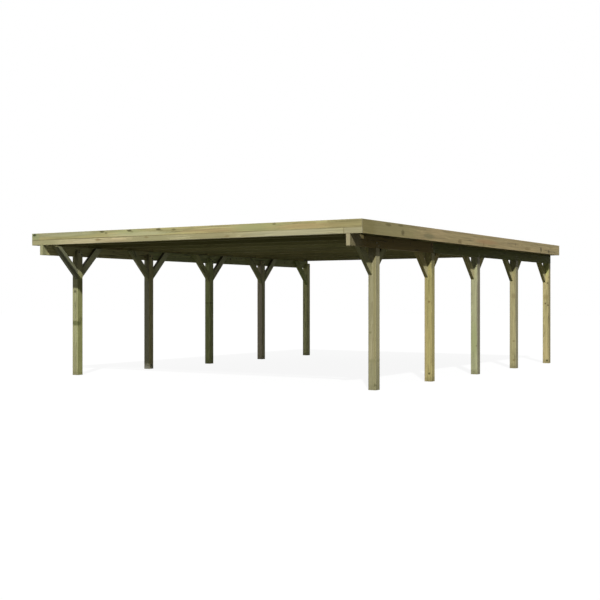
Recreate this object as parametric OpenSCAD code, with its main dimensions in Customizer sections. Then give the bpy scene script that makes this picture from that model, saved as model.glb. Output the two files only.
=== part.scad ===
// Open double carport of pressure-treated pine.
// Two rows of posts carry a beam each, let into the outer half of the post heads.
// Knee braces stiffen the rows, rafters cross from beam to beam under ribbed roof sheets,
// and boards close the edge of the flat roof.
// The origin is on the ground at the middle of the roof; the front faces -Y.

/* [Roof] */
// Overall width, over the side boards
roof_w = 6076; // [5000:1:7000]
// Overall depth, over the front and rear boards
roof_d = 8190; // [7000:1:9500]
// Roof edge to the outer faces of the posts
side_overhang = 178; // [60:1:400]
// Front boards to the front faces of the first posts
front_overhang = 735; // [600:1:900]
// Rear boards to the back faces of the last posts
rear_overhang = 0; // [0:1:500]

/* [Posts] */
// Posts in each row
posts_per_row = 5; // [3:1:6]
// Side of the square posts
post_w = 120; // [90:1:160]
// Ground to the underside of the beams, where the beams sit in the posts
clear_h = 1977; // [1700:1:2500]
// Tongue of the post head that stands up behind the beam
tongue_h = 100; // [40:1:150]

/* [Beams and braces] */
// Thickness of the beams
beam_t = 60; // [40:1:80]
// Height of the beams
beam_h = 160; // [120:1:240]
// Post over which the two lengths of a beam meet, counted from the front
splice_post = 2; // [2:1:3]
// Thickness of the knee braces
brace_t = 60; // [30:1:70]
// Width of the knee braces
brace_w = 114; // [80:1:140]
// Slope of the knee braces above the level
brace_angle = 45; // [40:1:50]
// Underside of the beams down to the lower tips of the braces
brace_drop = 378; // [250:1:450]
// Height by which the braces towards the rear start above those towards the front
rear_brace_lift = 40; // [0:1:80]
// Top of the beams down to the upper ends of the braces
brace_top_gap = 10; // [2:1:40]

/* [Rafters and sheets] */
// Rafters from front to rear
rafter_count = 10; // [6:1:12]
// Front boards to the front edge of the sheets, open behind the backing plank
front_slit = 195; // [70:1:300]
// Front edge of the sheets to the first rafter
sheet_overhang = 200; // [0:1:250]
// Thickness of the rafters
rafter_t = 45; // [35:1:80]
// Height of the rafters
rafter_h = 120; // [80:1:130]
// Roof sheets side by side
sheet_count = 6; // [4:1:8]
// Upright thickness of the sheets
sheet_t = 2; // [1:0.5:4]
// Ribs of one sheet
rib_count = 10; // [6:1:12]
// Height of the ribs
rib_h = 25; // [15:1:40]
// Flat crown of a rib
rib_top_w = 30; // [15:1:40]
// Level width of one sloping rib side
rib_side_w = 14; // [8:1:18]
// Room between the sheets and the boards around them
sheet_gap = 6; // [2:1:15]

/* [Edge boards] */
// Height of the boarded roof edge
fascia_h = 191; // [175:1:260]
// Thickness of the boards
fascia_t = 24; // [15:1:35]
// Height of the upper board at the front and rear
upper_board_h = 110; // [80:1:140]
// Thickness of the plank that backs the front boards
backing_t = 45; // [20:1:60]
// Top of the front boards down to the top of the backing plank
backing_drop = 6; // [2:1:40]
// Right-hand end of the roof to the butt joint in the lower front board
front_joint = 274; // [150:1:1500]

/* [Finish] */
// Eased long edges of the posts and beams
timber_edge = 5; // [1:0.5:10]
// Eased long edges of the boards, braces and rafters
board_edge = 2.5; // [0.5:0.5:4]
// Open joint where two lengths of timber meet end to end
butt_gap = 2; // [0.5:0.5:6]

/* [Hidden] */
front_y = -roof_d / 2;
rear_y = roof_d / 2;
inner_w = roof_w - 2 * fascia_t;
inner_d = roof_d - 2 * fascia_t;

row_x = roof_w / 2 - side_overhang - post_w / 2;
first_post_y = front_y + front_overhang + post_w / 2;
last_post_y = rear_y - rear_overhang - post_w / 2;
bay = (last_post_y - first_post_y) / (posts_per_row - 1);

beam_top = clear_h + beam_h;
beam_outer_x = row_x + post_w / 2;
beam_inner_x = beam_outer_x - beam_t;
splice_y = first_post_y + (splice_post - 1) * bay;

brace_foot_z = clear_h - brace_drop;
brace_rise = beam_top - brace_top_gap - brace_foot_z;
brace_l = brace_rise / sin(brace_angle);

rafter_top = beam_top + rafter_h;
sheet_front_y = front_y + fascia_t + front_slit;
first_rafter_y = sheet_front_y + sheet_overhang;
rafter_pitch = (rear_y - fascia_t - rafter_t - first_rafter_y) / (rafter_count - 1);

sheet_cover = (inner_w - 2 * sheet_gap) / sheet_count;
rib_pitch = sheet_cover / rib_count;
rib_foot_w = rib_top_w + 2 * rib_side_w;
lap_step = 2 * sheet_t;

sides = ["left", "right"];
post_green = [0.62, 0.59, 0.42];
beam_green = [0.55, 0.52, 0.36];
board_yellow = [0.70, 0.66, 0.48];
sheet_grey = [0.34, 0.35, 0.35];

function post_y(i) = first_post_y + (i - 1) * bay;

// Rectangle from the origin with its four corners eased
module eased_section(w, h, edge) {
    polygon([
        [edge, 0], [w - edge, 0], [w, edge], [w, h - edge],
        [w - edge, h], [edge, h], [0, h - edge], [0, edge]
    ]);
}

// Timbers that start at the origin and run along one axis
module timber_along_x(l, w, h, edge) {
    rotate([90, 0, 90]) linear_extrude(l) eased_section(w, h, edge);
}

module timber_along_y(l, w, h, edge) {
    translate([0, l, 0]) rotate([90, 0, 0]) linear_extrude(l) eased_section(w, h, edge);
}

module timber_along_z(l, w, h, edge) {
    linear_extrude(l) eased_section(w, h, edge);
}

// Draws the right-hand row's pieces, or their mirror image for the left row
module on_side(side) {
    mirror([side == "left" ? 1 : 0, 0, 0]) children();
}

// Post with the outer half of its head cut away to seat the beam
module post(i) {
    translate([row_x - post_w / 2, post_y(i) - post_w / 2, 0])
        difference() {
            timber_along_z(clear_h + tongue_h, post_w, post_w, timber_edge);
            translate([post_w - beam_t, -post_w, clear_h])
                cube([2 * post_w, 3 * post_w, 2 * tongue_h]);
        }
}

// Brace that starts at y = 0, cut upright at its foot and level at its head
module knee_brace(lift) {
    translate([beam_inner_x - brace_t, 0, brace_foot_z + lift])
        intersection() {
            rotate([brace_angle, 0, 0]) timber_along_y(brace_l, brace_t, brace_w, board_edge);
            cube([brace_t, brace_l, brace_rise - lift]);
        }
}

// The braces of one post: one towards the front, and one towards the next post if there is one
module braces(i) {
    translate([0, post_y(i) - post_w / 2, 0]) mirror([0, 1, 0]) knee_brace(0);
    if (i < posts_per_row) translate([0, post_y(i) + post_w / 2, 0]) knee_brace(rear_brace_lift);
}

// The two lengths of a beam butt over the splice post
module front_beam() {
    translate([beam_inner_x, front_y, clear_h])
        timber_along_y(splice_y - butt_gap / 2 - front_y, beam_t, beam_h, timber_edge);
}

module rear_beam() {
    translate([beam_inner_x, splice_y + butt_gap / 2, clear_h])
        timber_along_y(rear_y - splice_y - butt_gap / 2, beam_t, beam_h, timber_edge);
}

module rafter(i) {
    translate([-inner_w / 2, first_rafter_y + (i - 1) * rafter_pitch, beam_top])
        timber_along_x(inner_w, rafter_t, rafter_h, board_edge);
}

// Outline of one rib that starts at x, raised by z
function rib(x, z) = [
    [x, z],
    [x + rib_side_w, z + rib_h],
    [x + rib_side_w + rib_top_w, z + rib_h],
    [x + rib_foot_w, z]
];

function rib_row(z) = [for (k = [0 : rib_count - 1]) each rib(k * rib_pitch, z)];

function backwards(points) = [for (k = [len(points) - 1 : -1 : 0]) points[k]];

// Far edge of a sheet, where its last rib laps over the first rib of the next sheet
lap_edge = concat(
    [[sheet_cover, 0]],
    rib(sheet_cover, sheet_t),
    backwards(rib(sheet_cover, 2 * sheet_t)),
    [[sheet_cover - lap_step, 2 * sheet_t], [sheet_cover - lap_step, sheet_t]]
);

// Far edge of the last sheet
plain_edge = [[sheet_cover, 0], [sheet_cover, sheet_t]];

module roof_sheet(i) {
    far_edge = i < sheet_count ? lap_edge : plain_edge;
    sheet_rear_y = rear_y - fascia_t - sheet_gap;
    sheet_l = sheet_rear_y - sheet_front_y;
    translate([-inner_w / 2 + sheet_gap + (i - 1) * sheet_cover, sheet_rear_y, rafter_top])
        rotate([90, 0, 0])
            linear_extrude(sheet_l)
                polygon(concat(rib_row(0), far_edge, backwards(rib_row(sheet_t))));
}

// Front and rear boards run the full width, in two heights
module upper_board(y) {
    translate([-roof_w / 2, y, beam_top + fascia_h - upper_board_h])
        timber_along_x(roof_w, fascia_t, upper_board_h, board_edge);
}

module lower_board(y, x, l) {
    translate([x, y, beam_top])
        timber_along_x(l, fascia_t, fascia_h - upper_board_h, board_edge);
}

// The lower front board is made up with a short length at its right-hand end
module front_lower_boards() {
    lower_board(front_y, -roof_w / 2, roof_w - front_joint - butt_gap / 2);
    lower_board(front_y, roof_w / 2 - front_joint + butt_gap / 2, front_joint - butt_gap / 2);
}

// Plank on edge that joins the two front boards and carries them on the beams
module front_backing() {
    translate([-inner_w / 2, front_y + fascia_t, beam_top])
        timber_along_x(inner_w, backing_t, fascia_h - backing_drop, board_edge);
}

// Side boards are one wide board each, between the front and rear boards
module side_board() {
    translate([roof_w / 2 - fascia_t, front_y + fascia_t, beam_top])
        timber_along_y(inner_d, fascia_t, fascia_h, board_edge);
}

for (s = sides) {
    for (i = [1 : posts_per_row]) {
        color(post_green) on_side(s) post(i);
        color(beam_green) on_side(s) braces(i);
    }
    color(beam_green) on_side(s) front_beam();
    color(beam_green) on_side(s) rear_beam();
    color(board_yellow) on_side(s) side_board();
}
for (i = [1 : rafter_count]) {
    color(beam_green) rafter(i);
}
for (i = [1 : sheet_count]) {
    color(sheet_grey) roof_sheet(i);
}
color(board_yellow) upper_board(front_y);  // front_upper_board
color(board_yellow) front_lower_boards();
color(beam_green) front_backing();
color(board_yellow) upper_board(rear_y - fascia_t);  // rear_upper_board
color(board_yellow) lower_board(rear_y - fascia_t, -roof_w / 2, roof_w);  // rear_lower_board
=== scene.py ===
import bpy, bmesh, math, random
from mathutils import Matrix, Vector


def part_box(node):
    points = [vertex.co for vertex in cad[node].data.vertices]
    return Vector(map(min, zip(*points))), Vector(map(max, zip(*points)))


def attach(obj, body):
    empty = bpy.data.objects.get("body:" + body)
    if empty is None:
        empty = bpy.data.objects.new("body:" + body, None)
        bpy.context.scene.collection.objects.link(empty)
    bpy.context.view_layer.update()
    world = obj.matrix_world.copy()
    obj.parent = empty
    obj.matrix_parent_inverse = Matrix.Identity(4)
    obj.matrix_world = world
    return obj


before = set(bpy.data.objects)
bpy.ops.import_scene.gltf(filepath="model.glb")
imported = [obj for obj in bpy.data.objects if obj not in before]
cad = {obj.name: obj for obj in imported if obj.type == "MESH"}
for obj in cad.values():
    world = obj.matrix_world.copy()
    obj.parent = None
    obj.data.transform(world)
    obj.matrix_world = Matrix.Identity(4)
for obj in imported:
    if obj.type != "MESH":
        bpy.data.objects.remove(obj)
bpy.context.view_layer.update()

# Open double carport in treated pine, metres, front towards -Y
scene = bpy.context.scene
scene.view_settings.view_transform = "Standard"
rng = random.Random(4)
outward = {"left": -1, "right": 1}  # the way along X that each row's outside faces
postNumbers = range(1, 6)
rafterNumbers = range(1, 11)
sheetNumbers = range(1, 7)
print("frame loaded:", len(cad), "timbers and sheets")


def hexColour(text, gain=1.0, most=0.95):  # sRGB hex to linear; no surface gives back more than most
    parts = [int(text[i:i + 2], 16) / 255 for i in (1, 3, 5)]
    linear = [c / 12.92 if c <= 0.04045 else ((c + 0.055) / 1.055) ** 2.4 for c in parts]
    return tuple(min(c * gain, most) for c in linear) + (1.0,)


# feeds: socket -> value, node or output
# a colour Mix takes its share in socket 0 and its colours in 6 and 7, and gives the mixture in output 2
def addNode(tree, kind, settings=None, feeds=None):
    node = tree.nodes.new("ShaderNode" + kind)
    for key, value in (settings or {}).items():
        setattr(node, key, value)
    for key, value in (feeds or {}).items():
        if isinstance(value, bpy.types.Node):
            value = value.outputs[0]
        if isinstance(value, bpy.types.NodeSocket):
            tree.links.new(value, node.inputs[key])
        else:
            node.inputs[key].default_value = value
    return node


def newMaterial(name):
    material = bpy.data.materials.new(name)
    material.use_nodes = True
    material.node_tree.nodes.clear()
    return material, material.node_tree


def setMaterial(obj, material):  # the node keeps its mesh, only its slots change
    if not obj.material_slots:
        obj.data.materials.append(material)
    for slot in obj.material_slots:
        slot.material = material


def middleOf(name):
    low, high = (Vector(corner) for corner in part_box(name))
    return (low + high) / 2


def seenByEye(tree):  # rays from the eye, straight, mirrored or through glass, not those that carry light
    path = addNode(tree, "LightPath").outputs
    seen = addNode(tree, "Math", {"operation": "MAXIMUM"},
                   {0: path["Is Camera Ray"], 1: path["Is Glossy Ray"]})
    return addNode(tree, "Math", {"operation": "MAXIMUM"}, {0: seen, 1: path["Is Transmission Ray"]})


# Pressure-treated pine, sawn and planed: pale yellow-olive early wood with darker late-wood lines,
# red-brown knots that the lines bend round, fine drying checks, green cast from the copper salts
pine = {
    "ringWidth": 0.008,     # real rings are 3 mm, drawn coarser so that they show from 15 m
    "ringSharp": 2.6,       # how late in the year the dark line comes
    "wander": 0.045,        # how far the trunk strays from straight
    "slowWaves": (5, 5, 0.9),  # in a metre, across and along
    "knotRow": 0.30,        # whorls of knots along the trunk
    "knotSmall": 0.008, "knotLarge": 0.021,
    "knotBow": 1.1,         # how far the rings bend round a knot, in knots
    "halo": 0.30,           # dark wood round a knot
    "fibre": 0.0025, "fibreLength": 0.16,
    "streak": 0.020, "streakLength": 1.0, "streakMean": 0.97,
    "checkWidth": 0.016, "checkLength": 0.8, "checkLine": 0.016, "checkTone": "#2c2818", "checkDark": 0.72,
    "endTone": "#b3a98c", "endPale": 0.55,
    "splashTone": "#5d5638", "splashDark": 0.45, "splashWaves": 22.0, "splashLow": 0.01, "splashRise": 0.22,
    # painted shade on the braces' upper faces
    "upperShadeTone": "#3a340c", "upperShadeDark": 0.9,
    "earlyGain": 1.13,      # rings and streaks darken the early wood to the colour named
    "shades": {"Late": (0.60, 0.53, 0.44), "Knot": (0.36, 0.28, 0.20), "Salts": (0.66, 0.74, 0.62)},
    "markWaves": (150, 150, 24), "markRagged": 1.2, "markOuter": 1.80, "markInner": 1.10,
    "bump": 0.0016, "bumpShare": 0.55,
}


def makeGrain():
    grain = bpy.data.node_groups.new("treatedPineGrain", "ShaderNodeTree")
    for name, kind in (("Timber", "Vector"), ("Place", "Vector"), ("Axis", "Vector"), ("Seed", "Float"),
                       ("Early", "Color"), ("Late", "Color"), ("Knot", "Color"), ("Salts", "Color"),
                       ("Green", "Float"), ("Checks", "Float"), ("Spots", "Float"), ("Contrast", "Float")):
        grain.interface.new_socket(name, in_out="INPUT", socket_type="NodeSocket" + kind)
    for name, kind in (("Colour", "Color"), ("Roughness", "Float"), ("Height", "Float")):
        grain.interface.new_socket(name, in_out="OUTPUT", socket_type="NodeSocket" + kind)
    start = grain.nodes.new("NodeGroupInput").outputs
    end = grain.nodes.new("NodeGroupOutput").inputs

    # the trunk wanders a little, so that the lines run out in arches on the faces
    stray = pine["wander"]
    slow = addNode(grain, "VectorMath", {"operation": "MULTIPLY"}, {0: start["Timber"], 1: pine["slowWaves"]})
    wander = addNode(grain, "TexNoise", {"noise_dimensions": "4D"},
                     {"Vector": slow, "W": start["Seed"], "Scale": 1.0, "Detail": 2.0})
    wanderOff = addNode(grain, "VectorMath", {"operation": "MULTIPLY_ADD"},
                        {0: wander.outputs["Color"], 1: (2 * stray, 2 * stray, 0), 2: (-stray, -stray, 0)})
    trunk = addNode(grain, "VectorMath", {"operation": "ADD"}, {0: start["Timber"], 1: wanderOff})
    across = addNode(grain, "VectorMath", {"operation": "MULTIPLY"}, {0: trunk, 1: (1, 1, 0)})
    radius = addNode(grain, "VectorMath", {"operation": "LENGTH"}, {0: across}).outputs["Value"]
    parts = addNode(grain, "SeparateXYZ", None, {0: trunk}).outputs
    turn = addNode(grain, "Math", {"operation": "ARCTAN2"}, {0: parts["Y"], 1: parts["X"]})

    # knots are branches: a point on turn and length, running out from the pith
    rows = addNode(grain, "Math", {"operation": "DIVIDE"}, {0: parts["Z"], 1: pine["knotRow"]})
    rowsOff = addNode(grain, "Math", {"operation": "ADD"}, {0: rows, 1: start["Seed"]})
    unrolled = addNode(grain, "CombineXYZ", None, {"X": turn, "Y": rowsOff})
    branch = addNode(grain, "TexVoronoi", {"voronoi_dimensions": "2D"}, {"Vector": unrolled, "Scale": 1.0})
    offset = addNode(grain, "VectorMath", {"operation": "SUBTRACT"},
                     {0: unrolled, 1: branch.outputs["Position"]})
    reach = addNode(grain, "CombineXYZ", None, {"X": radius, "Y": pine["knotRow"]})
    metres = addNode(grain, "VectorMath", {"operation": "MULTIPLY"}, {0: offset, 1: reach})
    away = addNode(grain, "VectorMath", {"operation": "LENGTH"}, {0: metres}).outputs["Value"]
    luck = addNode(grain, "SeparateColor", None, {0: branch.outputs["Color"]}).outputs
    kept = addNode(grain, "Math", {"operation": "LESS_THAN"}, {0: luck["Red"], 1: start["Spots"]})
    girth = addNode(grain, "MapRange", None,
                    {"Value": luck["Green"], "To Min": pine["knotSmall"], "To Max": pine["knotLarge"]})
    share = addNode(grain, "Math", {"operation": "DIVIDE"}, {0: away, 1: girth})
    knotIn = addNode(grain, "MapRange", {"interpolation_type": "SMOOTHSTEP"},
                     {"Value": share, "From Min": 1.35, "From Max": 0.55})
    knotMask = addNode(grain, "Math", {"operation": "MULTIPLY"}, {0: knotIn, 1: kept})
    swell = addNode(grain, "MapRange", {"interpolation_type": "SMOOTHSTEP"},
                    {"Value": share, "From Min": 4.0, "From Max": 0.8})
    swellIn = addNode(grain, "Math", {"operation": "MULTIPLY"}, {0: swell, 1: kept})
    bow = addNode(grain, "Math", {"operation": "MULTIPLY"}, {0: swellIn, 1: girth})
    bowed = addNode(grain, "Math", {"operation": "MULTIPLY_ADD"}, {0: bow, 1: pine["knotBow"], 2: radius})

    # growth rings: early wood darkens slowly into a hard late-wood line
    ringAt = addNode(grain, "Math", {"operation": "DIVIDE"}, {0: bowed, 1: pine["ringWidth"]})
    ring = addNode(grain, "Math", {"operation": "FRACT"}, {0: ringAt})
    late = addNode(grain, "Math", {"operation": "POWER"}, {0: ring, 1: pine["ringSharp"]})
    year = addNode(grain, "Math", {"operation": "FLOOR"}, {0: ringAt})
    yearTone = addNode(grain, "TexWhiteNoise", {"noise_dimensions": "1D"}, {"W": year})
    lateTone = addNode(grain, "MapRange", None,
                       {"Value": yearTone.outputs["Value"], "To Min": 0.25, "To Max": 0.85})
    lateIn = addNode(grain, "Math", {"operation": "MULTIPLY"}, {0: late, 1: lateTone})

    # fibres, broad streaks of sapwood and drying checks, all drawn out along the timber
    fine = addNode(grain, "VectorMath", {"operation": "MULTIPLY"},
                   {0: start["Timber"], 1: (1 / pine["fibre"], 1 / pine["fibre"], 1 / pine["fibreLength"])})
    fibre = addNode(grain, "TexNoise", {"noise_dimensions": "4D"},
                    {"Vector": fine, "W": start["Seed"], "Scale": 1.0, "Detail": 3.0})
    broad = addNode(grain, "VectorMath", {"operation": "MULTIPLY"},
                    {0: trunk, 1: (1 / pine["streak"], 1 / pine["streak"], 1 / pine["streakLength"])})
    streak = addNode(grain, "TexNoise", {"noise_dimensions": "4D"},
                     {"Vector": broad, "W": start["Seed"], "Scale": 1.0, "Detail": 3.0})
    split = addNode(grain, "VectorMath", {"operation": "MULTIPLY"},
                    {0: start["Timber"], 1: (1 / pine["checkWidth"], 1 / pine["checkWidth"],
                                             1 / pine["checkLength"])})
    splitNoise = addNode(grain, "TexNoise", {"noise_dimensions": "4D"},
                         {"Vector": split, "W": start["Seed"], "Scale": 0.6, "Detail": 1.0})
    splitLine = addNode(grain, "Math", {"operation": "COMPARE"},
                        {0: splitNoise.outputs["Fac"], 1: 0.5, 2: pine["checkLine"]})
    splitZone = addNode(grain, "TexNoise", {"noise_dimensions": "4D"},
                        {"Vector": slow, "W": start["Seed"], "Scale": 2.1, "Detail": 1.0})
    splitWhere = addNode(grain, "MapRange", None,
                         {"Value": splitZone.outputs["Fac"], "From Min": 0.52, "From Max": 0.60})
    splitIn = addNode(grain, "Math", {"operation": "MULTIPLY"}, {0: splitLine, 1: splitWhere})
    check = addNode(grain, "Math", {"operation": "MULTIPLY"}, {0: splitIn, 1: start["Checks"]})

    # colour: rings, streaks, salts, knots, checks, end grain and splashed feet, in that order
    wood = addNode(grain, "Mix", {"data_type": "RGBA"}, {0: lateIn, 6: start["Early"], 7: start["Late"]})
    streakIn = addNode(grain, "MapRange", None,
                       {"Value": streak.outputs["Fac"], "From Min": 0.32, "From Max": 0.68,
                        "To Min": 0.74, "To Max": 1.16})
    fibreIn = addNode(grain, "MapRange", None,
                      {"Value": fibre.outputs["Fac"], "From Min": 0.3, "From Max": 0.7,
                       "To Min": 0.90, "To Max": 1.08})
    streakFar = addNode(grain, "Math", {"operation": "SUBTRACT"}, {0: streakIn, 1: pine["streakMean"]})
    streakOut = addNode(grain, "Math", {"operation": "MULTIPLY_ADD"},
                        {0: streakFar, 1: start["Contrast"], 2: pine["streakMean"]})
    toneIn = addNode(grain, "Math", {"operation": "MULTIPLY"}, {0: streakOut, 1: fibreIn})
    toned = addNode(grain, "VectorMath", {"operation": "SCALE"}, {0: wood.outputs[2], "Scale": toneIn})
    cloud = addNode(grain, "TexNoise", {"noise_dimensions": "4D"},
                    {"Vector": slow, "W": start["Seed"], "Scale": 0.7, "Detail": 4.0})
    cloudIn = addNode(grain, "MapRange", {"interpolation_type": "SMOOTHSTEP"},
                      {"Value": cloud.outputs["Fac"], "From Min": 0.40, "From Max": 0.64})
    saltsIn = addNode(grain, "Math", {"operation": "MULTIPLY"}, {0: cloudIn, 1: start["Green"]})
    salted = addNode(grain, "Mix", {"data_type": "RGBA"}, {0: saltsIn, 6: toned, 7: start["Salts"]})
    haloIn = addNode(grain, "Math", {"operation": "MULTIPLY"}, {0: swellIn, 1: pine["halo"]})
    haloed = addNode(grain, "Mix", {"data_type": "RGBA"}, {0: haloIn, 6: salted.outputs[2], 7: start["Late"]})
    knotted = addNode(grain, "Mix", {"data_type": "RGBA"},
                      {0: knotMask, 6: haloed.outputs[2], 7: start["Knot"]})
    checkIn = addNode(grain, "Math", {"operation": "MULTIPLY"}, {0: check, 1: pine["checkDark"]})
    checked = addNode(grain, "Mix", {"data_type": "RGBA"},
                      {0: checkIn, 6: knotted.outputs[2], 7: hexColour(pine["checkTone"])})
    facing = addNode(grain, "VectorMath", {"operation": "DOT_PRODUCT"},
                     {0: addNode(grain, "NewGeometry").outputs["Normal"], 1: start["Axis"]})
    facingEnd = addNode(grain, "Math", {"operation": "ABSOLUTE"}, {0: facing.outputs["Value"]})
    endIn = addNode(grain, "MapRange", None,
                    {"Value": facingEnd, "From Min": 0.86, "From Max": 0.98, "To Max": pine["endPale"]})
    ended = addNode(grain, "Mix", {"data_type": "RGBA"},
                    {0: endIn, 6: checked.outputs[2], 7: hexColour(pine["endTone"])})
    height = addNode(grain, "SeparateXYZ", None, {0: start["Place"]}).outputs["Z"]
    splash = addNode(grain, "TexNoise", None,
                     {"Vector": start["Place"], "Scale": pine["splashWaves"], "Detail": 4.0})
    splashTop = addNode(grain, "Math", {"operation": "MULTIPLY_ADD"},
                        {0: splash.outputs["Fac"], 1: pine["splashRise"], 2: pine["splashLow"]})
    low = addNode(grain, "Math", {"operation": "DIVIDE"}, {0: height, 1: splashTop})
    lowIn = addNode(grain, "MapRange", {"interpolation_type": "SMOOTHSTEP"},
                    {"Value": low, "From Min": 1.0, "From Max": 0.0, "To Max": pine["splashDark"]})
    footed = addNode(grain, "Mix", {"data_type": "RGBA"},
                     {0: lowIn, 6: ended.outputs[2], 7: hexColour(pine["splashTone"])})
    grain.links.new(footed.outputs[2], end["Colour"])

    # late wood stands a little proud, knots are proud and shine, checks are open
    rough = addNode(grain, "MapRange", None,
                    {"Value": fibre.outputs["Fac"], "From Min": 0.3, "From Max": 0.7,
                     "To Min": 0.62, "To Max": 0.82})
    roughKnot = addNode(grain, "Math", {"operation": "MULTIPLY_ADD"}, {0: knotMask, 1: -0.18, 2: rough})
    grain.links.new(roughKnot.outputs[0], end["Roughness"])
    ridge = addNode(grain, "Math", {"operation": "MULTIPLY_ADD"},
                    {0: fibre.outputs["Fac"], 1: 0.5, 2: lateIn})
    knob = addNode(grain, "Math", {"operation": "MULTIPLY_ADD"}, {0: knotMask, 1: 0.5, 2: ridge})
    sunk = addNode(grain, "Math", {"operation": "MULTIPLY_ADD"}, {0: check, 1: -2.0, 2: knob})
    grain.links.new(sunk.outputs[0], end["Height"])
    return grain


grain = makeGrain()
trunkTurns = {"x": (0, math.radians(-90), 0), "y": (math.radians(90), 0, 0), "z": (0, 0, 0),
              "brace": (math.radians(45), 0, 0)}
grainWays = {"x": (1, 0, 0), "y": (0, 1, 0), "z": (0, 0, 1), "brace": (0, 0, 0)}  # braces show no end grain
otherTrunk = 7.3  # a front brace is cut this far along the trunk from the rear one


# A place in the trunk that the timber was cut from: Z along the grain, the pith near X = Y = 0
def layTimber(tree, name, axis, pith, place):
    middle = middleOf(name)
    if axis == "brace":  # two braces rise from one post, mirrored in y
        middle.y = middleOf(name.replace("braces", "post")).y
    shifted = addNode(tree, "VectorMath", {"operation": "SUBTRACT"}, {0: place, 1: tuple(middle)})
    if axis != "brace":
        return addNode(tree, "Mapping", None,
                       {"Vector": shifted, "Rotation": trunkTurns[axis], "Location": (pith[0], pith[1], 0)})
    sides = addNode(tree, "SeparateXYZ", None, {0: shifted}).outputs
    out = addNode(tree, "Math", {"operation": "ABSOLUTE"}, {0: sides["Y"]})
    front = addNode(tree, "Math", {"operation": "LESS_THAN"}, {0: sides["Y"], 1: 0.0})
    folded = addNode(tree, "CombineXYZ", None, {"X": sides["X"], "Y": out, "Z": sides["Z"]})
    turned = addNode(tree, "Mapping", None, {"Vector": folded, "Rotation": trunkTurns[axis]})
    apart = addNode(tree, "CombineXYZ", None, {"X": pith[0], "Y": pith[1], "Z": front})
    far = addNode(tree, "VectorMath", {"operation": "MULTIPLY"}, {0: apart, 1: (1, 1, otherTrunk)})
    return addNode(tree, "VectorMath", {"operation": "ADD"}, {0: turned, 1: far})


# One timber: colour as it lies in daylight, grain direction, place of the pith from its middle
def pineMaterial(name, colour, axis, pith, green, checks=1.0, spots=0.20, contrast=1.0, marks=(),
                 gloss=0.3):
    material, tree = newMaterial("treatedPine_" + name)
    place = addNode(tree, "TexCoord").outputs["Object"]
    timber = layTimber(tree, name, axis, pith, place)
    early = hexColour(colour, pine["earlyGain"])
    shades = {socket: tuple(c * part for c, part in zip(early, parts)) + (1.0,)
              for socket, parts in pine["shades"].items()}
    body = addNode(tree, "Group", {"node_tree": grain},
                   {"Timber": timber, "Place": place, "Axis": grainWays[axis], "Seed": rng.uniform(0, 60),
                    "Early": early, "Contrast": contrast, "Green": green, "Checks": checks,
                    "Spots": spots, **shades})
    shown = body.outputs["Colour"]
    drawn = addNode(tree, "VectorMath", {"operation": "MULTIPLY"}, {0: timber, 1: pine["markWaves"]})
    ragged = addNode(tree, "TexNoise", None, {"Vector": drawn, "Scale": 1.0, "Detail": 3.0})
    for where, size, tone, strong in marks:  # knots, stains and seams that can be made out one by one
        gap = addNode(tree, "VectorMath", {"operation": "SUBTRACT"}, {0: place, 1: where})
        near = addNode(tree, "VectorMath", {"operation": "DIVIDE"}, {0: gap, 1: size})
        span = addNode(tree, "VectorMath", {"operation": "LENGTH"}, {0: near}).outputs["Value"]
        torn = addNode(tree, "Math", {"operation": "MULTIPLY_ADD"},
                       {0: ragged.outputs["Fac"], 1: pine["markRagged"], 2: span})
        spot = addNode(tree, "MapRange", {"interpolation_type": "SMOOTHSTEP"},
                       {"Value": torn, "From Min": pine["markOuter"], "From Max": pine["markInner"],
                        "To Max": strong})
        shown = addNode(tree, "Mix", {"data_type": "RGBA"},
                        {0: spot, 6: shown, 7: hexColour(tone)}).outputs[2]
    if axis == "brace":  # painted shade: the upper faces are darkened as if they lay in shade
        upward = addNode(tree, "SeparateXYZ", None, {0: addNode(tree, "NewGeometry").outputs["Normal"]})
        upperShade = addNode(tree, "MapRange", None,
                       {"Value": upward.outputs["Z"], "From Min": 0.5, "From Max": 0.65,
                        "To Max": pine["upperShadeDark"]})
        shown = addNode(tree, "Mix", {"data_type": "RGBA"},
                        {0: upperShade, 6: shown, 7: hexColour(pine["upperShadeTone"])}).outputs[2]
    bump = addNode(tree, "Bump", None,
                   {"Strength": pine["bumpShare"], "Distance": pine["bump"],
                    "Height": body.outputs["Height"]})
    shader = addNode(tree, "BsdfPrincipled", None,
                     {"Base Color": shown, "Roughness": body.outputs["Roughness"], "Normal": bump,
                      "Specular IOR Level": gloss})
    addNode(tree, "OutputMaterial", None, {"Surface": shader})
    setMaterial(cad[name], material)


def moved(marks, origin):  # marks are measured from a place on the timber itself
    return [(tuple(origin + Vector(where)), size, tone, strong) for where, size, tone, strong in marks]


# Posts and their braces. A mark is a place from the middle of the post's foot, half sizes, colour, strength
post = {
    "pith": 0.03, "green": (0.25, 0.55), "spots": 0.05,
    "tones": {"right": ["#989270", "#aa9f69", "#a9a883", "#a39b71", "#bcae7c"],
              # painted light: from the second left post on, the tones are raised paler so that the posts in
              # the roof's shade come out lighter
              "left": ["#98976f", "#b3ad7d", "#b8bf82", "#d0cb9f", "#d9d99b"]},
    "knotDeep": 0.05, "markDeep": 0.016,
    "knotAt": 0.060, "paintedLightAt": 0.065,  # how far out knots and painted light and shade lie, on the face or just off it
}
brace = {
    "pithX": 0.05, "pithY": (0.03, 0.08), "streaks": (0.9, 1.0, 1.1), "green": (0.3, 0.6), "spots": 0.12,
    "gloss": {"right": 0.06, "left": 0.35},
    "tones": {"right": ["#93906a", "#ae9f6e", "#b5ae7c", "#a29e6c", "#a49f66"],
              "left": ["#97956f", "#a6a67a", "#bbbb80", "#acac78", "#99a05e"]},
}


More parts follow.
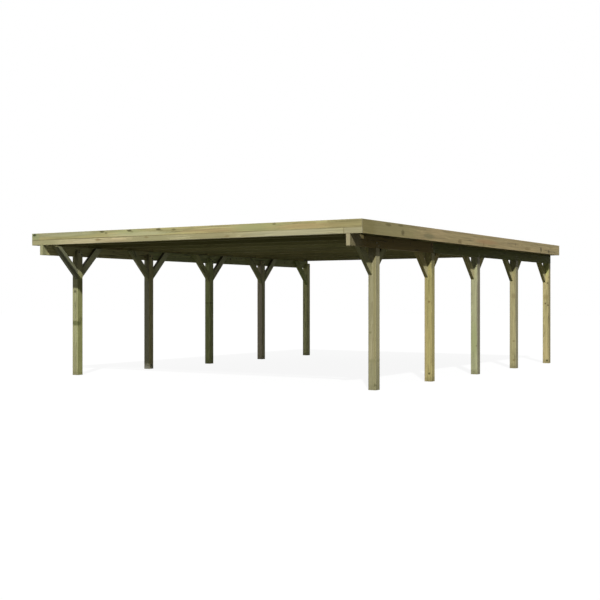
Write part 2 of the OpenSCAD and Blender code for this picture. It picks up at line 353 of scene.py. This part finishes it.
def sideTintAndPaintedLight(z, tall, tone, strong):  # painted light and painted shade over the whole width of the face to the right; the lower mark on the first left post is a tint of the wood
    return (post["paintedLightAt"], 0, z), (post["markDeep"], 0.20, tall), tone, strong


def paintedFrontLight(x, z, wide, tall, tone, strong):  # painted light and painted shade that stay on the front face
    return (x, -post["paintedLightAt"], z), (wide, post["markDeep"], tall), tone, strong


def frontKnot(x, z, wide, tall, tone, strong):  # goes a little round the corner
    return (x, -post["knotAt"], z), (wide, post["knotDeep"], tall), tone, strong


# The broad marks are painted light and painted shade: paler faces on the shaded left posts, darker heads
# under the roof, darker or paler side faces on the right, a greyed sunlit foot. The small ones are knots.
postMarks = {
    "left_post_1": [sideTintAndPaintedLight(0.900, 1.400, "#96985a", 0.60),
                    sideTintAndPaintedLight(1.920, 0.250, "#b4b088", 0.90),
                    paintedFrontLight(0.025, 1.920, 0.050, 0.280, "#6e6c46", 0.80),
                    ((0.010, -0.050, 0.866), (0.130, 0.10, 0.048), "#565a2e", 0.80),
                    ((0.065, 0.010, 0.930), (0.020, 0.06, 0.050), "#6f7044", 0.60),
                    frontKnot(-0.002, 1.395, 0.030, 0.030, "#4d4c30", 0.85)],
    "left_post_2": [paintedFrontLight(0, 1.000, 0.200, 1.600, "#8e8e78", 0.80),
                    paintedFrontLight(0.030, 1.920, 0.060, 0.280, "#6a6440", 0.80),
                    sideTintAndPaintedLight(0.800, 1.500, "#d6cf98", 0.90),
                    # painted shade: greys the sunlit foot of the post
                    ((0, -0.064, 0.020), (0.200, 0.20, 0.080), "#77756a", 0.75)],
    "left_post_3": [sideTintAndPaintedLight(0.900, 1.500, "#d4db98", 0.80),
                    ((0, -0.058, 1.194), (0.200, 0.20, 0.014), "#82884f", 0.60)],
    "left_post_4": [paintedFrontLight(0, 1.000, 0.200, 1.600, "#cfc0ae", 0.55)],
    "right_post_1": [sideTintAndPaintedLight(1.000, 1.300, "#aaa47e", 0.60),
                     ((0.042, -0.060, 1.000), (0.024, 0.03, 1.500), "#898256", 0.65),
                     # painted shade: the head under the roof is darkened
                     ((0, 0, 1.980), (0.200, 0.20, 0.120), "#5a5330", 0.85),
                     frontKnot(-0.026, 0.801, 0.018, 0.018, "#6e6a44", 0.60),
                     ((0, 0, 0.410), (0.090, 0.20, 0.030), "#7d7a54", 0.50),
                     ((0, 0, 0.120), (0.200, 0.20, 0.330), "#858360", 0.50),
                     ((0.046, -0.050, 0.070), (0.018, 0.04, 0.024), "#4e4e2c", 0.70)],
    "right_post_2": [sideTintAndPaintedLight(1.930, 0.260, "#605c38", 0.80),
                     frontKnot(0.020, 1.225, 0.022, 0.018, "#7a6238", 0.80),
                     frontKnot(-0.037, 1.279, 0.014, 0.024, "#8a7a48", 0.60),
                     frontKnot(-0.055, 0.800, 0.024, 1.500, "#ad9b72", 0.70),
                     frontKnot(0.020, 0.124, 0.022, 0.020, "#4e4a26", 0.90)],
    "right_post_3": [sideTintAndPaintedLight(1.930, 0.240, "#5c5a3c", 0.80),
                     frontKnot(0.043, 0.482, 0.016, 0.016, "#55522f", 0.80),
                     ((0, -0.060, 0.600), (0.060, 0.06, 0.320), "#9a9f6c", 0.60),
                     sideTintAndPaintedLight(1.000, 1.300, "#7a7262", 0.85)],
    "right_post_4": [sideTintAndPaintedLight(1.930, 0.240, "#4a4828", 0.85),
                     # painted shade: the front of the head under the roof is darkened
                     ((0, -0.066, 1.930), (0.200, 0.03, 0.200), "#83845a", 0.60),
                     frontKnot(0.018, 0.501, 0.024, 0.018, "#7a6a40", 0.70),
                     frontKnot(0.024, 1.326, 0.050, 0.050, "#857650", 0.50),
                     sideTintAndPaintedLight(1.000, 1.400, "#858068", 0.70),
                     frontKnot(0.018, 0.153, 0.028, 0.022, "#7a6a40", 0.70)],
    "right_post_5": [sideTintAndPaintedLight(0.900, 1.600, "#91865e", 0.90),
                     ((0, -0.065, 1.930), (0.200, 0.03, 0.200), "#b6c070", 0.60),
                     frontKnot(-0.007, 1.183, 0.020, 0.018, "#5a4a2a", 0.90),
                     frontKnot(0.046, 1.150, 0.018, 0.018, "#5a4a2a", 0.90),
                     frontKnot(0.038, 1.590, 0.022, 0.020, "#5a4f2a", 0.80),
                     ((0.056, -0.045, 0.880), (0.010, 0.03, 0.120), "#5e5638", 0.70),
                     frontKnot(0.008, 1.312, 0.050, 0.060, "#94834e", 0.50),
                     frontKnot(0.028, 0.052, 0.024, 0.026, "#3c4220", 0.90)],
}
# painted light: the rear braces on the left are made paler
paintedLightRear = ((0.06, 0.31, 1.88), (0.20, 0.25, 0.60), "#cfcfa6", 0.95)
paintedBraceLight = {  # painted light and painted shade, a row's marks and those of the braces that differ: paler rear braces on the left, a darker first front brace on the left, paler sunlit feet on the right
    "left": [paintedLightRear],
    "right": [((0.01, -0.13, 1.70), (0.03, 0.12, 0.15), "#bcb48a", 0.90)],
    "left_braces_1": [paintedLightRear,
                      ((0.06, -0.31, 1.88), (0.20, 0.25, 0.60), "#74765c", 0.85),
                      ((0.06, -0.10, 1.66), (0.20, 0.14, 0.18), "#74765c", 0.80)],
    "right_braces_1": [((0.01, -0.13, 1.70), (0.03, 0.12, 0.15), "#bcb48a", 0.40)],
}
for side in ("right", "left"):
    for number in postNumbers:
        name = f"{side}_post_{number}"
        foot = middleOf(name)
        foot.z = 0
        pith = (rng.uniform(-post["pith"], post["pith"]), rng.uniform(-post["pith"], post["pith"]))
        pineMaterial(name, post["tones"][side][number - 1], "z", pith, rng.uniform(*post["green"]),
                     spots=post["spots"], marks=moved(postMarks.get(name, ()), foot))
        name = f"{side}_braces_{number}"
        pith = (rng.uniform(-brace["pithX"], brace["pithX"]),
                rng.choice((-1, 1)) * rng.uniform(*brace["pithY"]))
        streaks = rng.choice(brace["streaks"])
        pineMaterial(name, brace["tones"][side][number - 1], "brace", pith, rng.uniform(*brace["green"]),
                     spots=brace["spots"], contrast=streaks, gloss=brace["gloss"][side],
                     marks=moved(paintedBraceLight.get(name, paintedBraceLight[side]), foot))

# Beams: the right ones are toned dark as painted shade for the shade under the side boards, the left ones
# pale as painted light; their marks retone the sunlit front ends as part of the same painted light and shade,
# and are measured from the middle of the front end
beam = {
    "pithX": (0.04, 0.09), "pithY": 0.05, "green": (0.35, 0.6), "gloss": {"left": 0.3, "right": 0.08},
    "tones": {"left_front_beam": "#bab482", "left_rear_beam": "#b1b481",
              "right_front_beam": "#6c5e36", "right_rear_beam": "#54562a"},
}
paintedBeamEnds = {"right_front_beam": [((0, 0.045, 0), (0.20, 0.33, 0.30), "#80785a", 0.90),
                                  ((0, -0.005, 0), (0.20, 0.012, 0.30), "#a39a78", 0.95)],
             "left_front_beam": [((0, 0.005, 0), (0.20, 0.10, 0.30), "#93936c", 0.80)]}
for name, colour in beam["tones"].items():
    frontEnd = middleOf(name)
    frontEnd.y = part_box(name)[0][1]
    pith = (rng.uniform(*beam["pithX"]), rng.uniform(-beam["pithY"], beam["pithY"]))
    pineMaterial(name, colour, "y", pith, rng.uniform(*beam["green"]),
                 marks=moved(paintedBeamEnds.get(name, ()), frontEnd), gloss=beam["gloss"][name.split("_")[0]])

rafter = {
    "pithX": 0.04, "pithY": (0.03, 0.07), "green": (0.2, 0.5),
    "checks": 0.3, "spots": 0.0, "contrast": 0.5, "gloss": 0.06,
    # painted shade: the first rafters, seen under the front boards, are toned darker and those behind paler
    "tones": ["#726e42", "#7c784a", "#9a9563", "#b6b07a", "#b3ae7a",
              "#bcb57c", "#b7b078", "#bcb67e", "#c0ba82", "#b6b07a"],
}
for number, colour in zip(rafterNumbers, rafter["tones"]):
    pith = (rng.uniform(-rafter["pithX"], rafter["pithX"]), rng.uniform(*rafter["pithY"]))
    pineMaterial(f"rafter_{number}", colour, "x", pith, rng.uniform(*rafter["green"]), rafter["checks"],
                 rafter["spots"], rafter["contrast"], gloss=rafter["gloss"])

# Roof edge: paler planed boards, with their own knots, stains and the seam between two boards
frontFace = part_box("front_upper_board")[0][1]
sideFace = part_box("right_board")[1][0]


def onFront(depth, rows):  # rows: x, height, half length, half height, colour, strength
    return [((x, frontFace, z), (long, depth, tall), tone, strong) for x, z, long, tall, tone, strong in rows]


def onSide(depth, rows):  # the same with y for x
    return [((sideFace, y, z), (depth, long, tall), tone, strong) for y, z, long, tall, tone, strong in rows]


markDeep, knotDeep = 0.05, 0.03
frontSeam = onFront(markDeep, [(-2.000, 2.218, 2.600, 0.008, "#6d6440", 0.70),
                                (2.000, 2.218, 3.400, 0.008, "#8a8058", 0.50)])
frontUpper = onFront(markDeep, [(-2.300, 2.300, 0.850, 0.045, "#9c9e7e", 0.55),
                                 (-1.450, 2.306, 0.360, 0.034, "#8a8960", 0.60),
                                 (-0.780, 2.252, 0.640, 0.042, "#b3b086", 0.85),
                                 (-2.990, 2.250, 0.140, 0.140, "#8a9268", 0.70),
                                 (-1.000, 2.300, 0.300, 0.045, "#9a9f70", 0.60),
                                 (0.600, 2.255, 0.600, 0.030, "#a88a60", 0.35),
                                 (1.420, 2.270, 0.550, 0.075, "#9ca06c", 0.60),
                                 (2.200, 2.262, 0.700, 0.040, "#b39c6c", 0.60),
                                 (2.850, 2.262, 0.450, 0.080, "#898054", 0.60)])
frontUpper += onFront(knotDeep, [(-2.984, 2.304, 0.045, 0.022, "#343c1e", 0.95),
                                 (-1.526, 2.308, 0.050, 0.018, "#4c4826", 0.85),
                                 (-1.440, 2.286, 0.034, 0.016, "#6d6840", 0.75),
                                 (-0.973, 2.306, 0.050, 0.018, "#4c4826", 0.85),
                                 (-0.920, 2.288, 0.034, 0.014, "#7d7850", 0.70),
                                 (-0.401, 2.306, 0.052, 0.019, "#514b28", 0.85),
                                 (-0.350, 2.288, 0.036, 0.014, "#7d7850", 0.70),
                                 (-0.116, 2.294, 0.046, 0.016, "#5e5632", 0.65),
                                 (1.660, 2.308, 0.034, 0.014, "#5e5632", 0.70)])
frontLower = onFront(markDeep, [(-2.900, 2.175, 0.600, 0.080, "#97936a", 0.75),
                                 (-1.900, 2.165, 0.600, 0.035, "#c0b38c", 0.50),
                                 (-1.050, 2.180, 0.500, 0.040, "#b9a67e", 0.45),
                                 (-0.580, 2.178, 0.500, 0.070, "#959068", 0.85),
                                 (0.580, 2.178, 0.520, 0.070, "#928b64", 0.80),
                                 (1.950, 2.170, 0.800, 0.070, "#a4a284", 0.55),
                                 (2.905, 2.178, 0.160, 0.300, "#979071", 0.60),
                                 (2.764, 2.178, 0.008, 0.300, "#7d7450", 0.60)])
frontLower += onFront(knotDeep, [(-1.610, 2.186, 0.060, 0.020, "#8a764c", 0.75),
                                 (-0.636, 2.195, 0.050, 0.016, "#867850", 0.70),
                                 (0.855, 2.162, 0.045, 0.016, "#867850", 0.70)])
rightSide = onSide(0.10, [(-3.300, 2.230, 1.050, 0.300, "#8b8558", 0.65)])
rightSide += onSide(markDeep, [(-3.950, 2.230, 0.280, 0.200, "#7d7444", 0.55)])
rightSide += onSide(knotDeep, [(-2.000, 2.200, 0.200, 0.050, "#767350", 0.60),
                               (-1.700, 2.275, 0.300, 0.050, "#b4a076", 0.60),
                               (0.300, 2.222, 0.550, 0.045, "#a5825a", 0.60),
                               (2.255, 2.190, 0.200, 0.030, "#7a6840", 0.60),
                               (-3.321, 2.290, 0.100, 0.022, "#645c36", 0.75),
                               (-2.946, 2.300, 0.090, 0.018, "#645c38", 0.70),
                               (-2.877, 2.205, 0.055, 0.045, "#5a5230", 0.75),
                               (-0.850, 2.175, 0.090, 0.040, "#6b5c38", 0.65),
                               (3.005, 2.205, 0.060, 0.050, "#574c2e", 0.85),
                               (3.451, 2.180, 0.060, 0.040, "#574c2e", 0.85)])
edgeBoards = {  # colour, grain, pith, green, loose knots, streaks, marks
    "front_upper_board": ("#a89f70", "x", (0.02, 0.06), 0.40, 0.0, 1.9, frontUpper + frontSeam),
    "front_lower_boards": ("#b1a982", "x", (-0.02, 0.07), 0.25, 0.0, 1.9, frontLower + frontSeam),
    "front_backing": ("#9c9268", "x", (0.02, 0.05), 0.30, 0.1, 1.0, ()),
    "rear_upper_board": ("#a0966b", "x", (0.03, -0.06), 0.35, 0.12, 1.6, ()),
    "rear_lower_board": ("#a69e77", "x", (-0.02, -0.07), 0.30, 0.12, 1.6, ()),
    "right_board": ("#a6966d", "y", (-0.05, 0.02), 0.20, 0.03, 1.1, rightSide),
    "left_board": ("#a0936a", "y", (0.05, -0.02), 0.35, 0.12, 1.6, ()),
}
boardChecks = 0.5
for name, (colour, axis, pith, green, spots, contrast, marks) in edgeBoards.items():
    pineMaterial(name, colour, axis, pith, green, boardChecks, spots, contrast, marks)
print("treated pine on posts, braces, beams, rafters and boards")

# Extruded rigid vinyl, satin dark grey: even colour, dust lying in the pans, faint run marks
vinyl = {
    "dark": "#56595a", "pale": "#646866", "dust": "#8b887a",
    "runWaves": (28, 0.7, 1), "dustWaves": 2.4,  # in a metre
    "panLow": 0.002, "panHigh": 0.018,           # dust thins out between these levels in the sheet
    "dustOnRibs": 0.10, "dustInPans": 0.75, "satin": 0.40, "dusty": 0.78, "refraction": 1.53,
}


def sheetMaterial(name):
    material, tree = newMaterial("rigidVinyl_" + name)
    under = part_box(name)[0][2]
    place = addNode(tree, "TexCoord").outputs["Object"]
    runs = addNode(tree, "VectorMath", {"operation": "MULTIPLY"}, {0: place, 1: vinyl["runWaves"]})
    run = addNode(tree, "TexNoise", None, {"Vector": runs, "Scale": 1.0, "Detail": 4.0})
    dust = addNode(tree, "TexNoise", None,
                   {"Vector": place, "Scale": vinyl["dustWaves"], "Detail": 6.0, "Roughness": 0.62})
    level = addNode(tree, "SeparateXYZ", None, {0: place}).outputs["Z"]
    pan = addNode(tree, "MapRange", None,
                  {"Value": level, "From Min": under + vinyl["panHigh"], "From Max": under + vinyl["panLow"],
                   "To Min": vinyl["dustOnRibs"], "To Max": vinyl["dustInPans"]})
    patchy = addNode(tree, "MapRange", {"interpolation_type": "SMOOTHSTEP"},
                     {"Value": dust.outputs["Fac"], "From Min": 0.38, "From Max": 0.68})
    dustIn = addNode(tree, "Math", {"operation": "MULTIPLY"}, {0: pan, 1: patchy})
    runIn = addNode(tree, "MapRange", None, {"Value": run.outputs["Fac"], "From Min": 0.3, "From Max": 0.7})
    base = addNode(tree, "Mix", {"data_type": "RGBA"},
                   {0: runIn, 6: hexColour(vinyl["dark"]), 7: hexColour(vinyl["pale"])})
    shown = addNode(tree, "Mix", {"data_type": "RGBA"},
                    {0: dustIn, 6: base.outputs[2], 7: hexColour(vinyl["dust"])})
    rough = addNode(tree, "MapRange", None,
                    {"Value": dustIn, "To Min": vinyl["satin"], "To Max": vinyl["dusty"]})
    bump = addNode(tree, "Bump", None, {"Strength": 0.2, "Distance": 0.001, "Height": run.outputs["Fac"]})
    shader = addNode(tree, "BsdfPrincipled", None,
                     {"Base Color": shown.outputs[2], "Roughness": rough, "Normal": bump,
                      "IOR": vinyl["refraction"]})
    addNode(tree, "OutputMaterial", None, {"Surface": shader})
    setMaterial(cad[name], material)


for number in sheetNumbers:
    sheetMaterial(f"roof_sheet_{number}")
print("vinyl on the roof sheets")

# Hot-dip galvanised steel, toned dark so that the heads come out as dark as the shaded timber round them
# (painted shade): dull grey with cloudy zinc spangle
galvanised = {"dark": "#5c5a48", "pale": "#6e6c58", "spangle": 0.006, "bloom": 0.03,
              "bright": 0.5, "dull": 0.75, "metal": 0.5}


def zincMaterial():
    material, tree = newMaterial("galvanisedSteel")
    place = addNode(tree, "TexCoord").outputs["Object"]
    spangle = addNode(tree, "TexVoronoi", None, {"Vector": place, "Scale": 1 / galvanised["spangle"]})
    cell = addNode(tree, "SeparateColor", None, {0: spangle.outputs["Color"]}).outputs["Red"]
    bloom = addNode(tree, "TexNoise", None,
                    {"Vector": place, "Scale": 1 / galvanised["bloom"], "Detail": 4.0})
    shown = addNode(tree, "Mix", {"data_type": "RGBA"},
                    {0: cell, 6: hexColour(galvanised["dark"]), 7: hexColour(galvanised["pale"])})
    rough = addNode(tree, "MapRange", None,
                    {"Value": bloom.outputs["Fac"], "To Min": galvanised["bright"],
                     "To Max": galvanised["dull"]})
    shader = addNode(tree, "BsdfPrincipled", None,
                     {"Base Color": shown.outputs[2], "Roughness": rough, "Metallic": galvanised["metal"]})
    addNode(tree, "OutputMaterial", None, {"Surface": shader})
    return material


zinc = zincMaterial()


def addPiece(name, bm, material):
    bmesh.ops.recalc_face_normals(bm, faces=bm.faces)
    mesh = bpy.data.meshes.new(name)
    bm.to_mesh(mesh)
    bm.free()
    mesh.materials.append(material)
    piece = bpy.data.objects.new(name, mesh)
    scene.collection.objects.link(piece)
    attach(piece, "root")


def makeShape(build):  # one small part about the origin, its outside along +Z
    bm = bmesh.new()
    build(bm)
    bmesh.ops.recalc_face_normals(bm, faces=bm.faces)
    shape = bpy.data.meshes.new("shape")
    bm.to_mesh(shape)
    bm.free()
    return shape


def stamp(bm, shape, place):
    first = len(bm.verts)
    bm.from_mesh(shape)
    bm.verts.ensure_lookup_table()
    bmesh.ops.transform(bm, matrix=place, verts=bm.verts[first:])


def looking(point, direction):  # a place with +Z turned to direction
    return Matrix.Translation(point) @ Vector(direction).to_track_quat("Z", "Y").to_matrix().to_4x4()


def addDisc(bm, segments, radius, taper, base, tall):  # stands on the height base
    bmesh.ops.create_cone(bm, cap_ends=True, segments=segments, radius1=radius, radius2=radius * taper,
                          depth=tall, matrix=Matrix.Translation((0, 0, base + tall / 2)))


def moveTop(bm, faces, up):
    bmesh.ops.translate(bm, verts=list({v for f in faces for v in f.verts}), vec=(0, 0, up))


def rowFaces(side):  # the x of the posts' outer and inner faces
    low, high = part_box(f"{side}_post_1")
    return (low[0], high[0]) if outward[side] < 0 else (high[0], low[0])


# Carriage bolts: a dome outside, a nut on a washer inside, two in each post head
bolt = {
    "head": 0.0115, "rim": 0.0014, "rimTaper": 0.92,
    "dome": ((0.0026, 0.0024), (0.0030, 0.0012), (0.0030, 0.0005)),  # steps in and up
    "washer": 0.015, "washerHigh": 0.0025, "nut": 0.0095, "nutHigh": 0.008,
    "shank": 0.005, "shankTaper": 0.8, "shankOut": 0.006,
    "places": ((-0.030, 0.070), (0.030, 0.032)),  # y from the post's middle, height in the beam
}


def domedHead(bm):
    addDisc(bm, 14, bolt["head"], bolt["rimTaper"], 0, bolt["rim"])
    top = [f for f in bm.faces if f.normal.z > 0.9]
    for inward, up in bolt["dome"]:
        bmesh.ops.inset_region(bm, faces=top, thickness=inward, depth=0)
        moveTop(bm, top, up)


def nutAndWasher(bm):
    nutTop = bolt["washerHigh"] + bolt["nutHigh"]
    addDisc(bm, 18, bolt["washer"], 1, 0, bolt["washerHigh"])
    addDisc(bm, 6, bolt["nut"], 1, bolt["washerHigh"], bolt["nutHigh"])
    addDisc(bm, 10, bolt["shank"], bolt["shankTaper"], nutTop, bolt["shankOut"])


headShape, nutShape = makeShape(domedHead), makeShape(nutAndWasher)
for side, sign in outward.items():
    bm = bmesh.new()
    outer, inner = rowFaces(side)
    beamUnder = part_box(f"{side}_front_beam")[0][2]
    for number in postNumbers:
        yMid = middleOf(f"{side}_post_{number}").y
        for back, up in bolt["places"]:
            stamp(bm, headShape, looking((outer, yMid + back, beamUnder + up), (sign, 0, 0)))
            stamp(bm, nutShape, looking((inner, yMid + back, beamUnder + up), (-sign, 0, 0)))
    addPiece(f"{side}_carriage_bolts", bm, zinc)
print("carriage bolts through the post heads")

# Wood screws: flat heads with a sunk drive, two at the head and two at the foot of each brace
screw = {"head": 0.0052, "taper": 0.88, "rise": 0.0012, "recess": 0.0024, "deep": 0.0009}
braceScrew = {
    "head": ((0.380, 0.057), (0.440, 0.029)),  # out from the post, down from the brace's top
    "foot": ((0.034, 0.091), (0.052, 0.146)),  # out from the post, up from the brace's tip
    "rearLift": 0.040,                         # rear braces start higher
}


def screwHead(bm):
    addDisc(bm, 12, screw["head"], screw["taper"], 0, screw["rise"])
    top = [f for f in bm.faces if f.normal.z > 0.9]
    bmesh.ops.inset_region(bm, faces=top, thickness=screw["recess"])
    moveTop(bm, top, -screw["deep"])


screwShape = makeShape(screwHead)
bm = bmesh.new()
for side, sign in outward.items():
    inner = rowFaces(side)[1]
    tip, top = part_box(f"{side}_braces_1")[0][2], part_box(f"{side}_braces_1")[1][2]
    for number in postNumbers:
        low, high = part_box(f"{side}_post_{number}")
        for way in ((-1, 1) if number < len(postNumbers) else (-1,)):
            face, raised = (low[1], 0) if way < 0 else (high[1], braceScrew["rearLift"])
            spots = [(out - raised, top - down) for out, down in braceScrew["head"]]
            spots += [(out, tip + up + raised) for out, up in braceScrew["foot"]]
            for out, z in spots:
                stamp(bm, screwShape, looking((inner, face + way * out, z), (-sign, 0, 0)))
addPiece("brace_screws", bm, zinc)

# Board screws, sunk in the edge boards; heights are from the boards' lower edge
boardScrew = {
    "sunk": 0.0014, "side": (0.033, 0.091), "corner": (0.023, 0.059, 0.107, 0.165),
    "rear": (0.041, 0.103), "rearStep": 0.6,
}
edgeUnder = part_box("right_board")[0][2]
sideX = sideFace - boardScrew["sunk"]
rearY = -frontFace - boardScrew["sunk"]
cornerX = middleOf("right_board").x
bm = bmesh.new()
for number in rafterNumbers:  # side boards into the rafter ends
    yMid = middleOf(f"rafter_{number}").y
    for sign in outward.values():
        for up in boardScrew["side"]:
            stamp(bm, screwShape, looking((sign * sideX, yMid, edgeUnder + up), (sign, 0, 0)))
for sign in outward.values():  # front and rear boards at the corners
    for way in (-1, 1):
        for up in boardScrew["corner"]:
            stamp(bm, screwShape, looking((sign * cornerX, way * rearY, edgeUnder + up), (0, way, 0)))
for step in range(-4, 5):  # rear boards into the last rafter
    for up in boardScrew["rear"]:
        stamp(bm, screwShape, looking((step * boardScrew["rearStep"], rearY, edgeUnder + up), (0, 1, 0)))
addPiece("board_screws", bm, zinc)
print("screws in braces and boards")

# Roof screws: hexagon head on a sealing washer, one in every third rib over each rafter
roofScrew = {"washer": 0.010, "washerTaper": 0.85, "washerHigh": 0.003, "hex": 0.0052, "hexHigh": 0.005,
             "ribStep": 3}
ribsPerSheet = 10


def sealedScrew(bm):
    addDisc(bm, 10, roofScrew["washer"], roofScrew["washerTaper"], 0, roofScrew["washerHigh"])
    addDisc(bm, 6, roofScrew["hex"], 1, roofScrew["washerHigh"], roofScrew["hexHigh"])


sealShape = makeShape(sealedScrew)
bm = bmesh.new()
firstLow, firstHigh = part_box("roof_sheet_1")
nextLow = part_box("roof_sheet_2")[0]
ribPitch = (nextLow[0] - firstLow[0]) / ribsPerSheet
ribMiddle = (firstHigh[0] - nextLow[0]) / 2
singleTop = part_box(f"roof_sheet_{sheetNumbers[-1]}")[1][2]
for number in rafterNumbers:
    yMid = middleOf(f"rafter_{number}").y
    for rib in range(0, ribsPerSheet * len(sheetNumbers), roofScrew["ribStep"]):
        lapped = rib % ribsPerSheet == 0 and rib > 0  # lapped ribs are two sheets high
        x = firstLow[0] + rib * ribPitch + ribMiddle
        stamp(bm, sealShape, Matrix.Translation((x, yMid, firstHigh[2] if lapped else singleTop)))
addPiece("roof_screws", bm, zinc)

# Angle brackets hold the rafters down on the beams
bracket = {"leg": 0.050, "wide": 0.046, "thick": 0.0025, "clear": 0.0001, "screwOut": 0.012, "screwUp": 0.033}


def angleBracket(bm):  # corner at the origin, legs along +Y and +Z
    leg, wide, clear = bracket["leg"], bracket["wide"], bracket["clear"]
    bmesh.ops.create_grid(bm, x_segments=1, y_segments=1, size=0.5,
                          matrix=Matrix.Translation((0, leg / 2, 0)) @ Matrix.Diagonal((wide, leg, 1, 1)))
    inner = [e for e in bm.edges if all(abs(v.co.y) < 1e-6 for v in e.verts)]
    grown = bmesh.ops.extrude_edge_only(bm, edges=inner)["geom"]
    bmesh.ops.translate(bm, verts=[g for g in grown if isinstance(g, bmesh.types.BMVert)], vec=(0, 0, leg))
    bmesh.ops.solidify(bm, geom=bm.faces[:], thickness=-bracket["thick"])
    bmesh.ops.translate(bm, verts=bm.verts, vec=(0, clear, clear))


bracketShape = makeShape(angleBracket)
bm = bmesh.new()
for number in rafterNumbers:
    low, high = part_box(f"rafter_{number}")
    last = number == len(rafterNumbers)  # it stands against the rear boards
    face, way = (low[1], -1) if last else (high[1], 1)
    turn = Matrix.Rotation(math.pi, 4, "Z") if last else Matrix.Identity(4)
    for side in outward:
        beamMiddle = middleOf(f"{side}_front_beam").x
        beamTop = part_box(f"{side}_front_beam")[1][2]
        stamp(bm, bracketShape, Matrix.Translation((beamMiddle, face, beamTop)) @ turn)
        plate = face + way * (bracket["thick"] + bracket["clear"])
        for out in (-bracket["screwOut"], bracket["screwOut"]):
            at = (beamMiddle + out, plate, beamTop + bracket["screwUp"])
            stamp(bm, screwShape, looking(at, (0, way, 0)))
addPiece("rafter_brackets", bm, zinc)
print("roof screws and rafter brackets")

# Pale floor: near white to the eye with the object's shadow, a dark grey to the light that it throws back
ground = {"reach": 60, "drop": 0.002, "glow": 1.03, "shadowShare": 0.11, "pale": "#ededec", "grey": "#616159"}


def floorMaterial():
    material, tree = newMaterial("paleFloor")
    glow = addNode(tree, "Emission", None,
                   {"Color": hexColour("#ffffff", most=1.0), "Strength": ground["glow"]})
    matt = addNode(tree, "BsdfDiffuse", None, {"Color": hexColour(ground["pale"])})
    pale = addNode(tree, "MixShader", None, {0: ground["shadowShare"], 1: glow, 2: matt})
    grey = addNode(tree, "BsdfDiffuse", None, {"Color": hexColour(ground["grey"])})
    both = addNode(tree, "MixShader", None, {0: seenByEye(tree), 1: grey, 2: pale})
    addNode(tree, "OutputMaterial", None, {"Surface": both})
    return material


bm = bmesh.new()
bmesh.ops.create_grid(bm, x_segments=1, y_segments=1, size=ground["reach"],
                      matrix=Matrix.Translation((0, 0, -ground["drop"])))
floorMesh = bpy.data.meshes.new("floor")
bm.to_mesh(floorMesh)
bm.free()
floorMesh.materials.append(floorMaterial())
floor = bpy.data.objects.new("floor", floorMesh)
scene.collection.objects.link(floor)

light = {"toSun": (0.404, -0.673, 0.632), "strength": 3.9, "angle": 1.4,
         "sky": 0.34, "skyTint": "#fdfeff", "rightShare": 0.3}
sun = bpy.data.lights.new("key", "SUN")
sun.energy = light["strength"]
sun.angle = math.radians(light["angle"])
sunObject = bpy.data.objects.new("key", sun)
sunObject.rotation_euler = Vector(light["toSun"]).to_track_quat("Z", "Y").to_euler()
scene.collection.objects.link(sunObject)

world = bpy.data.worlds.new("studio")
scene.world = world
world.use_nodes = True
tree = world.node_tree
tree.nodes.clear()
white = addNode(tree, "Background", None, {"Color": hexColour("#ffffff", most=1.0), "Strength": 1.0})
# the fill comes from the front, the left and above, and little of it from the right
toward = addNode(tree, "SeparateXYZ", None, {0: addNode(tree, "TexCoord").outputs["Generated"]}).outputs
skyIn = addNode(tree, "MapRange", {"interpolation_type": "SMOOTHSTEP"},
                {"Value": toward["X"], "From Min": 0.05, "From Max": 0.85,
                 "To Min": light["sky"], "To Max": light["sky"] * light["rightShare"]})
fill = addNode(tree, "Background", None, {"Color": hexColour(light["skyTint"], most=1.0), "Strength": skyIn})
both = addNode(tree, "MixShader", None, {0: seenByEye(tree), 1: fill, 2: white})
addNode(tree, "OutputWorld", None, {"Surface": both})

# Camera fitted to the feet, post heads and roof corners, level, turned to the left
view = {"lens": 62.91, "sensor": 36, "place": (9.634, -16.255, 1.2528), "turn": 31.85}
camera = bpy.data.cameras.new("view")
camera.lens = view["lens"]
camera.sensor_width = view["sensor"]
cameraObject = bpy.data.objects.new("view", camera)
cameraObject.location = view["place"]
cameraObject.rotation_euler = (math.radians(90), 0, math.radians(view["turn"]))
scene.collection.objects.link(cameraObject)
scene.camera = cameraObject
print("floor, light and camera placed")
